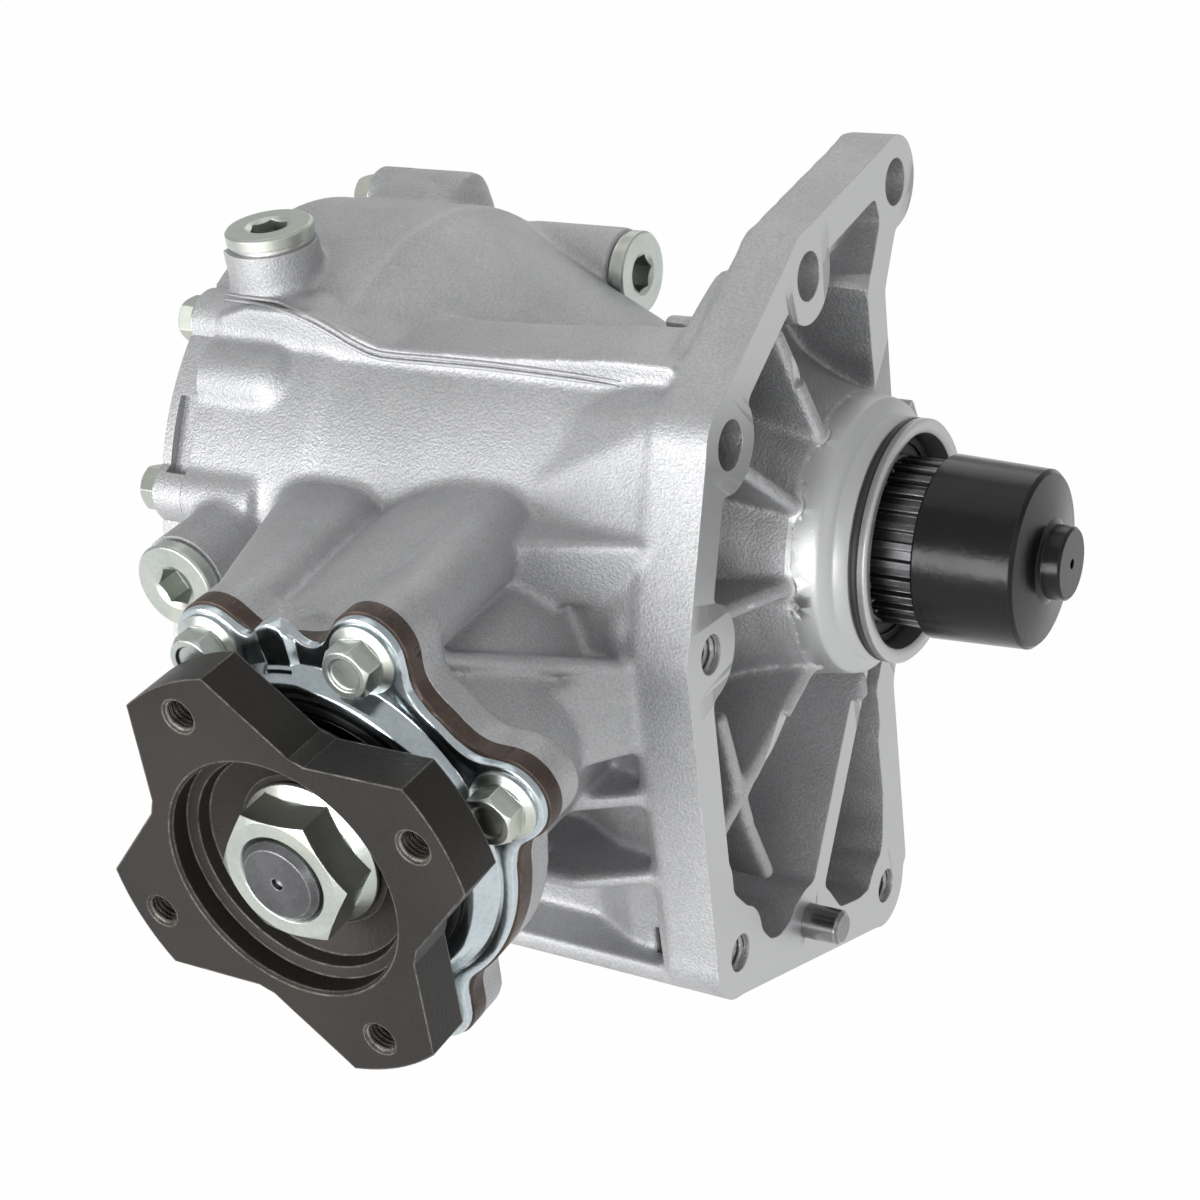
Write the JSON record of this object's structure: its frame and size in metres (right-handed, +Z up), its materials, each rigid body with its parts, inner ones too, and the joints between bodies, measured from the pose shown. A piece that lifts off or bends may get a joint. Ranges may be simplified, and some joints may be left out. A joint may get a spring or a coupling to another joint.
{
  "type": "transfer case",
  "caption": "Right-angle power transfer case: cast case with a ribbed bell, hollow splined input with a pilot hub, bevel gears and a lobed output flange.",
  "frame": {"origin": "input axis at the bell's mating face", "axes": "+X out of the bell along the input axis, -Y out of the output flange, +Z up"},
  "size_m": [0.2526, 0.257, 0.2344],
  "materials": {
    "cast_case": "as cast and shot blasted, machined on its joint faces",
    "zinc_steel": "bright zinc plate",
    "zinc_sheet": "bluish zinc plate",
    "soft_washer": "soft and flat",
    "black_rubber": "oiled",
    "plain_steel": "ground",
    "bearing_steel": "ground and polished",
    "gear_steel": "machined and hardened",
    "black_bolt": "black oxide",
    "brown_iron": "dark oiled",
    "phosphate_iron": "black phosphate",
    "black_plastic": "moulded, soft shine"
  },
  "bodies": {
    "case": {"main_housing": "cast_case", "end_cover": "cast_case", "cover_bolts": "zinc_steel", "cover_seal": "black_rubber", "dowel_pin": "plain_steel", "fill_plug": "zinc_steel", "level_plug": "zinc_steel", "side_plug": "zinc_steel", "plug_washers": "soft_washer", "pilot_o_ring": "black_rubber", "front_bearing_cup": "bearing_steel", "rear_bearing_cup": "bearing_steel", "input_seal": "black_rubber", "axle_seal": "black_rubber", "bearing_shim": "plain_steel", "head_bearing_cup": "bearing_steel", "tail_bearing_cup": "bearing_steel", "pinion_carrier": "brown_iron", "carrier_o_ring": "black_rubber", "retainer_plate": "zinc_sheet", "retainer_bolts": "zinc_steel", "output_seal": "black_rubber", "dust_seal": "black_rubber"},
    "input line": {"input_shaft": "gear_steel", "ring_gear": "gear_steel", "ring_gear_bolts": "black_bolt", "front_bearing_cone": "bearing_steel", "front_bearing_rollers": "bearing_steel", "rear_bearing_cone": "bearing_steel", "rear_bearing_rollers": "bearing_steel"},
    "output line": {"pinion_shaft": "gear_steel", "head_bearing_cone": "bearing_steel", "head_bearing_rollers": "bearing_steel", "tail_bearing_cone": "bearing_steel", "tail_bearing_rollers": "bearing_steel", "collapsible_spacer": "plain_steel", "dust_deflector": "zinc_sheet", "companion_flange": "phosphate_iron", "flange_nut": "zinc_steel"},
    "shipping cap": {"shipping_cap": "black_plastic"}
  },
  "joints": [
    {"name": "input_spin", "type": "hinge", "parent": "case", "child": "input line", "pos_m": [0, 0, 0], "axis": [1, 0, 0], "continuous": true},
    {"name": "output_spin", "type": "hinge", "parent": "case", "child": "output line", "pos_m": [-0.065, -0.1, -0.013], "axis": [0, -1, 0], "continuous": true},
    {"name": "cap_slide", "type": "slide", "parent": "input line", "child": "shipping cap", "axis": [1, 0, 0], "range_m": [0, 0.04]}
  ],
  "couplings": [
    {"joint": "output_spin", "follows": "input_spin", "ratio": 2.0625}
  ]
}
